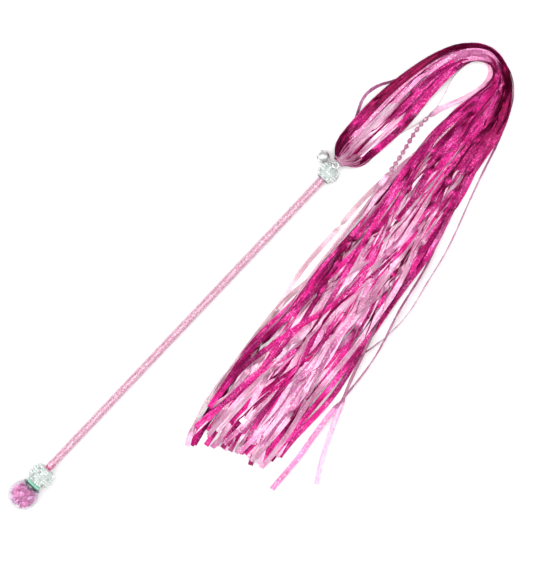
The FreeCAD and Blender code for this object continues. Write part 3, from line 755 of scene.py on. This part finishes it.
def mesh_piece(name, vertices, faces, values=None, smooth=True):
    """A mesh object from vertices and faces, with one number of each kind in values for each vertex."""
    mesh = bpy.data.meshes.new(name)
    mesh.from_pydata([tuple(v) for v in vertices], [], faces)
    for label, numbers in (values or {}).items():
        layer = mesh.attributes.new(label, "FLOAT", "POINT")
        layer.data.foreach_set("value", np.asarray(numbers, np.float32))
    mesh.polygons.foreach_set("use_smooth", [smooth] * len(mesh.polygons))
    if smooth:
        mesh.set_sharp_from_angle(angle=math.radians(50))
    mesh.update()
    piece = bpy.data.objects.new(name, mesh)
    bpy.context.scene.collection.objects.link(piece)
    return piece


def joined(shapes):
    """Several (vertices, faces, values) as one."""
    vertices, faces, values = [], [], {}
    for more_vertices, more_faces, more_values in shapes:
        start = len(vertices)
        vertices.extend(more_vertices)
        faces.extend(tuple(start + corner for corner in face) for face in more_faces)
        for label, numbers in more_values.items():
            values.setdefault(label, []).extend(numbers)
    return vertices, faces, values


def edgeways_stretches(chance):
    """Where a streamer of the tassel stands on its edge: nowhere, or along one or two stretches."""
    stretches = []
    for _ in range(chance.choice((0, 0, 1, 1, 2))):
        start = chance.uniform(0.03, 0.45)
        end = start + chance.uniform(0.02, 0.07)
        stretches.append((start, end, chance.choice((-1, 1)) * chance.uniform(60, 85)))
    return stretches


def make_streamer(name, node, route, layer, head_place, kind, materials, strip_style, chance):
    """One declared streamer. Its strip_style goes on to strip_shape."""
    line = smooth_line(control_points(route, layer, head_place, kind, chance))
    vertices, faces, values, path = strip_shape(line, chance=chance, **strip_style)
    piece = mesh_piece(name, vertices, faces, values)
    piece.data.materials.append(materials[FILMS[kind]])
    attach(piece, "tassel")
    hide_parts(node)


def make_streamers(materials):
    chance = random.Random(STREAMER_SEED)
    number = 0
    for layer, (head_places, end_places, extras) in enumerate(LAYERS):
        for lane in zip(head_places, BEND_PLACES, end_places, extras):
            number += 1
            kind = KINDS.get(number, "foil")
            outermost = lane[1] == max(BEND_PLACES)
            # A low tone for the outermost lane: its foil is painted dark, as painted shade along the tassel's
            # outer edge.
            tones = (0.0, 0.15) if outermost else (0.3, 1.0)
            bend_roll = chance.uniform(0, 15) if kind == "band" else chance.uniform(20, 75)
            strip_style = {
                "bend_roll": bend_roll,
                "tones": tones,
                "twists": chance.choice((1, 1, 2, 3, 4)),
                "edgeways": edgeways_stretches(chance),
            }
            make_streamer(
                f"ribbon_{number:02d}", f"streamer_{number:02d}", lane_route(layer, *lane), layer, lane[0],
                kind, materials, strip_style, chance,
            )
    (_, inner_y), (_, outer_y) = STATIONS[0]
    for stray, (layer, route) in STRAYS.items():
        head_place = (route[0][1] - inner_y) / (outer_y - inner_y)
        strip_style = {
            "bend_roll": STRAY_BEND_ROLL,
            "tones": (0.8, 1.0),
            "twists": 0,
            "edgeways": STRAY_EDGEWAYS[stray],
            "rock": STRAY_ROCK,
        }
        make_streamer(
            "ribbon_" + stray, "streamer_" + stray, route, layer, head_place, KINDS.get(stray, "foil"),
            materials, strip_style, chance,
        )


def make_filling(materials):
    """The streamers that fill the tassel out between the declared ones, as one piece of each film."""
    chance = random.Random(FILLING_SEED)
    gathered = {"foil": [], "head": [], "pale": [], "band": [], "clear": []}
    for kind, count, heads, bends, ends, layers, rolls, tones in FILLING:
        for _ in range(count):
            head_place = chance.uniform(*heads)
            layer = chance.uniform(*layers)
            end_place = chance.uniform(*ends)
            crossing = (chance.uniform(10.5, 15), chance.uniform(0.1, 0.4) * (1 if end_place < 0.5 else -1))
            route = lane_route(
                layer, head_place, chance.uniform(*bends), end_place, chance.uniform(-0.022, 0.012), crossing,
            )
            line = smooth_line(control_points(route, layer, head_place, kind, chance))
            twists = chance.choice((1, 2, 3, 4))
            edgeways = edgeways_stretches(chance)
            shape = strip_shape(line, chance.uniform(*rolls), tones, chance, twists, edgeways)
            gathered[FILMS[kind]].append(shape)
    for film, strips in gathered.items():
        vertices, faces, values = joined([strip[:3] for strip in strips])
        piece = mesh_piece(f"filling_ribbons_{film}", vertices, faces, values)
        piece.data.materials.append(materials[film])
        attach(piece, "tassel")
        if film == "foil":
            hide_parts("tassel_head")


# Wand shapes

STONE_RADIUS = 0.00105
STONE_HEIGHT = 0.0007
STONE_SPACING = 0.00222
STONE_LEAN = 0.06
BALL_ROWS = (50, 63.3, 76.7, 90, 103.3, 116.7, 130)
TIP_ROWS = (57.4, 73.7, 90, 106.3, 122.6)
GLOBE_WALL = 0.0011
FILM_PIECES = 420
FILM_GRID = 5
FILM_THICKNESS = 0.00004
HEAP_RADIUS = 0.0104
GLITTER_FLAKES = 5200
FLAKE_CORNERS = 6
FLAKE_THICKNESS = 0.00004
GLITTER_RINGS = 420
GLITTER_SIDES = 20


def scattered(draw, *limits):
    """A vector of three random numbers."""
    return Vector((draw(*limits), draw(*limits), draw(*limits)))


def tube_faces(rings, sides):
    """The faces of a round column: its two ends, and its side in so many rings."""
    faces = [tuple(range(sides)), tuple(reversed(range(rings * sides, (rings + 1) * sides)))]
    for ring in range(rings):
        for side in range(sides):
            a, b = ring * sides + side, ring * sides + (side + 1) % sides
            faces.append((b, a, a + sides, b + sides))
    return faces


def stone_shape(base, outward, turn):
    """A cut stone with eight sides: girdle, kite and star facets, and a flat table."""
    side = outward.cross((1, 0, 0)).normalized()
    other = outward.cross(side)
    corners = 8

    def ring(radius, height, offset):
        found = []
        for corner in range(corners):
            angle = turn + 2 * math.pi * (corner + offset) / corners
            place = side * (radius * math.cos(angle)) + other * (radius * math.sin(angle))
            found.append(base + place + outward * height)
        return found

    rings = [
        ring(0.90 * STONE_RADIUS, -0.0001, 0), ring(STONE_RADIUS, 0.18 * STONE_HEIGHT, 0),
        ring(STONE_RADIUS, 0.32 * STONE_HEIGHT, 0), ring(0.80 * STONE_RADIUS, 0.74 * STONE_HEIGHT, 0.5),
        ring(0.54 * STONE_RADIUS, STONE_HEIGHT, 0),
    ]
    vertices = [point for one in rings for point in one]
    bottom, low, girdle, middle, table = (range(corners * one, corners * (one + 1)) for one in range(5))
    faces = [tuple(reversed(bottom)), tuple(table)]
    for corner in range(corners):
        after = (corner + 1) % corners
        faces.append((bottom[corner], bottom[after], low[after], low[corner]))
        faces.append((low[corner], low[after], girdle[after], girdle[corner]))
        faces.append((girdle[corner], girdle[after], middle[corner]))
        faces.append((girdle[after], middle[after], table[after], middle[corner]))
        faces.append((middle[corner], table[after], table[corner]))
    return vertices, faces


def make_stones(node, core_node, rows, material, chance):
    """Cut stones set in rows round a bead, in place of its plain ones."""
    low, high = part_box(core_node)
    centre_x = (low.x + high.x) / 2
    core_radius = high.y
    shapes = []
    for row, row_angle in enumerate(rows):
        tilt = math.radians(row_angle)
        count = int(2 * math.pi * core_radius * math.sin(tilt) / STONE_SPACING)
        for place in range(count):
            turn = 2 * math.pi * (place + 0.5 * (row % 2)) / count
            lean = scattered(chance.uniform, -1, 1) * STONE_LEAN
            sine = math.sin(tilt)
            outward = Vector((math.cos(tilt), sine * math.cos(turn), sine * math.sin(turn)))
            base = Vector((centre_x, 0, 0)) + outward * core_radius
            vertices, faces = stone_shape(base, (outward + lean).normalized(), chance.uniform(0, 1))
            shapes.append((vertices, faces, {"tone": [chance.random()] * len(vertices)}))
    piece = mesh_piece("cut_" + node, *joined(shapes), smooth=False)
    piece.data.materials.append(material)
    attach(piece, "wand")
    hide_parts(node)


def make_globe_film(material, chance):
    """Crumpled pieces of film in the globe. They have settled to one side and to the bottom."""
    inner_radius = GLOBE_RADIUS - GLOBE_WALL
    heap = Vector((GLOBE_X + 0.0008, -0.0018, -0.0003))
    last_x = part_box("globe_cap")[0].x - 0.0003
    grid = FILM_GRID
    shapes = []
    while len(shapes) < FILM_PIECES:
        offset = scattered(chance.gauss, 0, 1).normalized()
        centre = heap + offset * HEAP_RADIUS * chance.random() ** 0.33
        turn = Matrix.Rotation(chance.uniform(0, 6.3), 3, scattered(chance.uniform, -1, 1).normalized())
        long, wide = chance.uniform(0.0028, 0.0048), chance.uniform(0.0022, 0.0036)
        curl, fold = chance.uniform(-300, 300), chance.uniform(-0.6, 0.6)
        top = []
        for i in range(grid):
            for j in range(grid):
                u = (i / (grid - 1) - 0.5) * long
                v = (j / (grid - 1) - 0.5) * wide
                rise = 0.5 * curl * u * u + fold * abs(v) + chance.uniform(-0.00012, 0.00012)
                top.append(centre + turn @ Vector((u, v, rise)))
        if any((p - Vector((GLOBE_X, 0, 0))).length > inner_radius or p.x > last_x for p in top):
            continue
        facing = turn @ Vector((0, 0, FILM_THICKNESS))
        vertices = top + [p - facing for p in top]
        faces = []
        bottom = grid * grid
        for i in range(grid - 1):
            for j in range(grid - 1):
                a, b, c, d = i * grid + j, (i + 1) * grid + j, (i + 1) * grid + j + 1, i * grid + j + 1
                faces.append((a, b, c, d))
                faces.append((d + bottom, c + bottom, b + bottom, a + bottom))
        rim = [i * grid for i in range(grid)] + [(grid - 1) * grid + j for j in range(1, grid)]
        rim += [i * grid + grid - 1 for i in reversed(range(grid - 1))] + list(reversed(range(1, grid - 1)))
        for first, second in zip(rim, rim[1:] + rim[:1]):
            faces.append((second, first, first + bottom, second + bottom))
        shapes.append((vertices, faces, {"tone": [chance.random()] * len(vertices)}))
    piece = mesh_piece("crumpled_globe_film", *joined(shapes), smooth=False)
    piece.data.materials.append(material)
    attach(piece, "wand")
    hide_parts("globe_flakes")


def make_glitter(core_material, flakes_material, chance):
    """The glitter in the tube: a column with a grainy surface, and loose flakes against the tube's wall."""
    low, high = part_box("glitter_fill")
    column_radius = high.y * 0.86
    vertices = []
    for ring in range(GLITTER_RINGS + 1):
        x = low.x + (high.x - low.x) * ring / GLITTER_RINGS
        for side in range(GLITTER_SIDES):
            angle = 2 * math.pi * side / GLITTER_SIDES
            radius = column_radius * chance.uniform(0.93, 1.0)
            vertices.append((x, radius * math.cos(angle), radius * math.sin(angle)))
    column = mesh_piece("glitter_column", vertices, tube_faces(GLITTER_RINGS, GLITTER_SIDES), smooth=False)
    column.data.materials.append(core_material)
    shapes = []
    for _ in range(GLITTER_FLAKES):
        angle = chance.uniform(0, 2 * math.pi)
        radius = chance.uniform(0.88, 0.955) * high.y
        outward = Vector((0, math.cos(angle), math.sin(angle)))
        x = chance.uniform(low.x + 0.0006, high.x - 0.0006)
        lean = scattered(chance.gauss, 0, 0.35)
        facing = (outward + lean).normalized()
        side = facing.cross((1, 0, 0)).normalized()
        other = facing.cross(side)
        size = chance.uniform(0.00028, 0.00052)
        centre = Vector((x, 0, 0)) + outward * radius
        turn = chance.uniform(0, 1)
        flake = []
        for height in (FLAKE_THICKNESS / 2, -FLAKE_THICKNESS / 2):
            for corner in range(FLAKE_CORNERS):
                way = turn + math.pi * corner / 3
                corner_at = centre + side * (size * math.cos(way)) + other * (size * math.sin(way))
                flake.append(corner_at + facing * height)
        faces = [tuple(range(FLAKE_CORNERS)), tuple(reversed(range(FLAKE_CORNERS, 2 * FLAKE_CORNERS)))]
        for corner in range(FLAKE_CORNERS):
            after = (corner + 1) % FLAKE_CORNERS
            faces.append((corner + FLAKE_CORNERS, after + FLAKE_CORNERS, after, corner))
        shapes.append((flake, faces, {"tone": [chance.random()] * len(flake)}))
    flakes = mesh_piece("glitter_flakes", *joined(shapes), smooth=False)
    flakes.data.materials.append(flakes_material)
    for piece in (column, flakes):
        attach(piece, "wand")
        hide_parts("glitter_fill")


def sweep(line, radius, sides=8):
    """Vertices and faces of a round cord along a line of points."""
    points = np.asarray(line, float)
    ahead = unit(np.gradient(points, axis=0))
    helper = np.tile(np.array([1.0, 0.0, 0.0]), (len(points), 1))
    beside = unit(np.cross(helper, ahead))
    above = np.cross(ahead, beside)
    vertices = []
    for centre, one, other in zip(points, beside, above):
        for side in range(sides):
            angle = 2 * math.pi * side / sides
            vertices.append(centre + radius * (one * math.cos(angle) + other * math.sin(angle)))
    return vertices, tube_faces(len(points) - 1, sides)


def make_collar(material):
    """Four turns of clear elastic round the tassel's neck."""
    turns, steps = 4, 40
    wire = 0.00026
    half_width = COLLAR_HIGH.y - 0.00025
    half_height = COLLAR_HIGH.z - 0.00025
    line = []
    for step in range(turns * steps + 1):
        angle = 2 * math.pi * step / steps
        x = COLLAR_LOW.x + wire + (COLLAR_HIGH.x - COLLAR_LOW.x - 2 * wire) * step / (turns * steps)
        line.append((x, half_width * math.cos(angle), half_height * math.sin(angle)))
    piece = mesh_piece("elastic_collar", *sweep(line, wire))
    piece.data.materials.append(material)
    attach(piece, "tassel")
    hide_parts("tassel_collar")


def paint(nodes, material):
    """Give CAD nodes this material."""
    for name in nodes:
        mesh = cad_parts[name].data
        mesh.materials.clear()
        mesh.materials.append(material)


def make_wand():
    chance = random.Random(WAND_SEED)
    stones = rhinestone_material()
    make_stones("pave_ball_stones", "pave_ball_core", BALL_ROWS, stones, chance)
    make_stones("tip_bead_stones", "tip_bead_core", TIP_ROWS, stones, chance)
    make_globe_film(crumpled_film_material(), chance)
    make_glitter(
        glitter_look("glitter_grains", [
            (0.0, (0.54, 0.16, 0.30)), (0.3, (0.74, 0.36, 0.50)), (0.65, (0.82, 0.52, 0.64)),
            (0.85, (0.86, 0.68, 0.77)), (1.0, (0.92, 0.84, 0.89)),
        ], scale=1400.0),
        flake_material(), chance,
    )
    elastic = tinted_plastic(
        "clear_elastic", deep=(0.60, 0.25, 0.38), light=(0.80, 0.50, 0.62), cover=0.25, roughness=0.3,
    )
    make_collar(elastic)
    silver = metal_material("silver_plate", (0.66, 0.66, 0.66), (0.86, 0.86, 0.85), roughness=0.14)
    gunmetal = metal_material("gunmetal_plate", (0.09, 0.09, 0.10), (0.22, 0.22, 0.23), roughness=0.25)
    steel = metal_material("plain_steel", (0.35, 0.35, 0.36), (0.6, 0.6, 0.6), roughness=0.3)
    paint(["globe_shell"], clear_plastic(
        "clear_globe", [(0.55, 0.52, 0.62), (0.70, 0.66, 0.75)], face_cover=0.05, edge_cover=0.55,
    ))
    # The tube's clear shell is tinted pink and made more opaque at its edge: painted refraction of the
    # glitter behind its wall.
    paint(["tube_shell"], clear_plastic(
        "clear_tube_painted_refraction", [(0.74, 0.42, 0.54), (0.84, 0.54, 0.66)], face_cover=0.10, edge_cover=0.80,
    ))
    paint(["globe_cap", "tip_eyelet_near"], gunmetal)
    paint(["crystal_spacer"], tinted_plastic(
        "mint_crystal", deep=(0.16, 0.60, 0.42), light=(0.50, 0.92, 0.72), cover=0.75, roughness=0.06,
    ))
    paint(["pave_ball_core", "tip_bead_core"], shaded_clay_material())
    paint(["handle_stud", "bell_pellet"], steel)
    paint(["tube_stopper", "tip_plug"], glitter_look("glittery_pink_plastic", [
        (0.0, (0.36, 0.03, 0.12)), (0.35, (0.62, 0.16, 0.30)), (0.7, (0.78, 0.38, 0.52)),
        (1.0, (0.9, 0.7, 0.8)),
    ], scale=900.0))
    paint(["bell_upper_half", "bell_lower_half"], metal_material(
        "bell_silver", (0.66, 0.66, 0.66), (0.80, 0.80, 0.79), roughness=0.4,
    ))
    paint([
        "tip_eyelet_far", "swivel_bush", "eye_pin", "link_ring", "bell_ring", "bell_loop", "tassel_loop",
    ], silver)


make_camera()
make_studio()
streamer_materials = {
    "foil": foil_material(),
    "pale": pale_material("pale_pink_film", [
        (0.50, 0.12, 0.28), (0.66, 0.24, 0.42), (0.72, 0.38, 0.54), (0.68, 0.44, 0.62), (0.82, 0.66, 0.76),
    ], opacity=0.85),
    "head": pale_material("pearly_film", [
        (0.50, 0.06, 0.22), (0.72, 0.32, 0.50), (0.84, 0.58, 0.71), (0.88, 0.74, 0.83), (0.97, 0.93, 0.95),
    ], opacity=0.88),
    "band": pale_material("pink_film", [
        (0.34, 0.03, 0.14), (0.50, 0.09, 0.28), (0.58, 0.14, 0.36), (0.62, 0.22, 0.46), (0.72, 0.40, 0.58),
    ], opacity=0.92),
    "clear": pale_material("clear_pink_film", [
        (0.62, 0.26, 0.36), (0.74, 0.40, 0.50), (0.82, 0.52, 0.60), (0.80, 0.60, 0.66), (0.85, 0.72, 0.76),
    ], opacity=0.5),
}
make_streamers(streamer_materials)
make_filling(streamer_materials)
make_wand()
